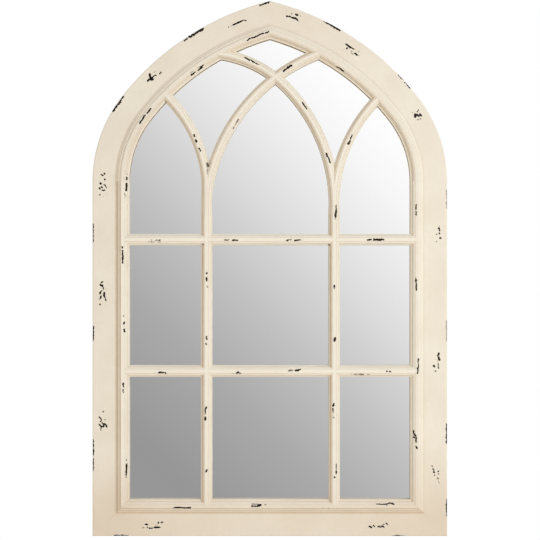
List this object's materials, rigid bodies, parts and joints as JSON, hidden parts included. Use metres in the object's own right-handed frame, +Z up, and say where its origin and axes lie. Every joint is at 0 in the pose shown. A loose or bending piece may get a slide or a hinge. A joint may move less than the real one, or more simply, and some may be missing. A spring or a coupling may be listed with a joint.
{
  "type": "arched window mirror",
  "caption": "Wall mirror like a pointed church window: painted wood frame, moulding, straight and intersecting curved bars over one mirror sheet, backing board and ring hangers.",
  "frame": {"origin": "on the wall plane, midway between the two wall hooks, at the height where the turned-up hanger rings bear on them", "axes": "+Z up along the mirror's height, +X to the right seen from the front, +Y into the wall, so the front faces -Y"},
  "size_m": [0.61, 0.0335, 0.9206],
  "materials": {
    "painted_wood": "cream paint, distressed, with a tan glaze in the grooves",
    "mirror_glass": "silvered float glass",
    "packing": "grey-brown millboard",
    "hardboard": "smooth hardboard",
    "beech": "pressed beech",
    "zinc_plate": "zinc plated",
    "rubber": "matt"
  },
  "bodies": {
    "mirror": {"frame_stile_left": "painted_wood", "frame_stile_right": "painted_wood", "frame_rail_bottom": "painted_wood", "frame_arch_left": "painted_wood", "frame_arch_right": "painted_wood", "moulding_left": "painted_wood", "moulding_right": "painted_wood", "moulding_bottom": "painted_wood", "moulding_arch_left": "painted_wood", "moulding_arch_right": "painted_wood", "bar_upright_left": "painted_wood", "bar_upright_right": "painted_wood", "bar_lower_left": "painted_wood", "bar_lower_middle": "painted_wood", "bar_lower_right": "painted_wood", "bar_upper_left": "painted_wood", "bar_upper_middle": "painted_wood", "bar_upper_right": "painted_wood", "curve_left_short": "painted_wood", "curve_left_long": "painted_wood", "curve_right_short": "painted_wood", "curve_right_long_lower": "painted_wood", "curve_right_long_upper": "painted_wood", "mirror_glass": "mirror_glass", "packing_sheet": "packing", "backing_board": "hardboard", "biscuit_corner_left": "beech", "biscuit_corner_right": "beech", "biscuit_spring_left": "beech", "biscuit_spring_right": "beech", "biscuit_apex": "beech", "hanger_strap_left": "zinc_plate", "hanger_strap_right": "zinc_plate", "hanger_screw_1": "zinc_plate", "hanger_screw_2": "zinc_plate", "hanger_screw_3": "zinc_plate", "hanger_screw_4": "zinc_plate", "backing_screw_1": "zinc_plate", "backing_screw_2": "zinc_plate", "backing_screw_3": "zinc_plate", "backing_screw_4": "zinc_plate", "backing_screw_5": "zinc_plate", "backing_screw_6": "zinc_plate", "backing_screw_7": "zinc_plate", "backing_screw_8": "zinc_plate", "backing_screw_9": "zinc_plate", "backing_screw_10": "zinc_plate", "backing_screw_11": "zinc_plate", "backing_screw_12": "zinc_plate", "bumper_lower_left": "rubber", "bumper_lower_right": "rubber", "bumper_upper_left": "rubber", "bumper_upper_right": "rubber"},
    "ring_left": {"hanger_ring_left": "zinc_plate"},
    "ring_right": {"hanger_ring_right": "zinc_plate"}
  },
  "joints": [
    {"name": "ring_swing_left", "type": "hinge", "parent": "mirror", "child": "ring_left", "pos_m": [-0.2843, -0.0039, -0.015], "axis": [1, 0, 0], "range_deg": [0, 180]},
    {"name": "ring_swing_right", "type": "hinge", "parent": "mirror", "child": "ring_right", "pos_m": [0.2843, -0.0039, -0.015], "axis": [1, 0, 0], "range_deg": [0, 180]}
  ]
}
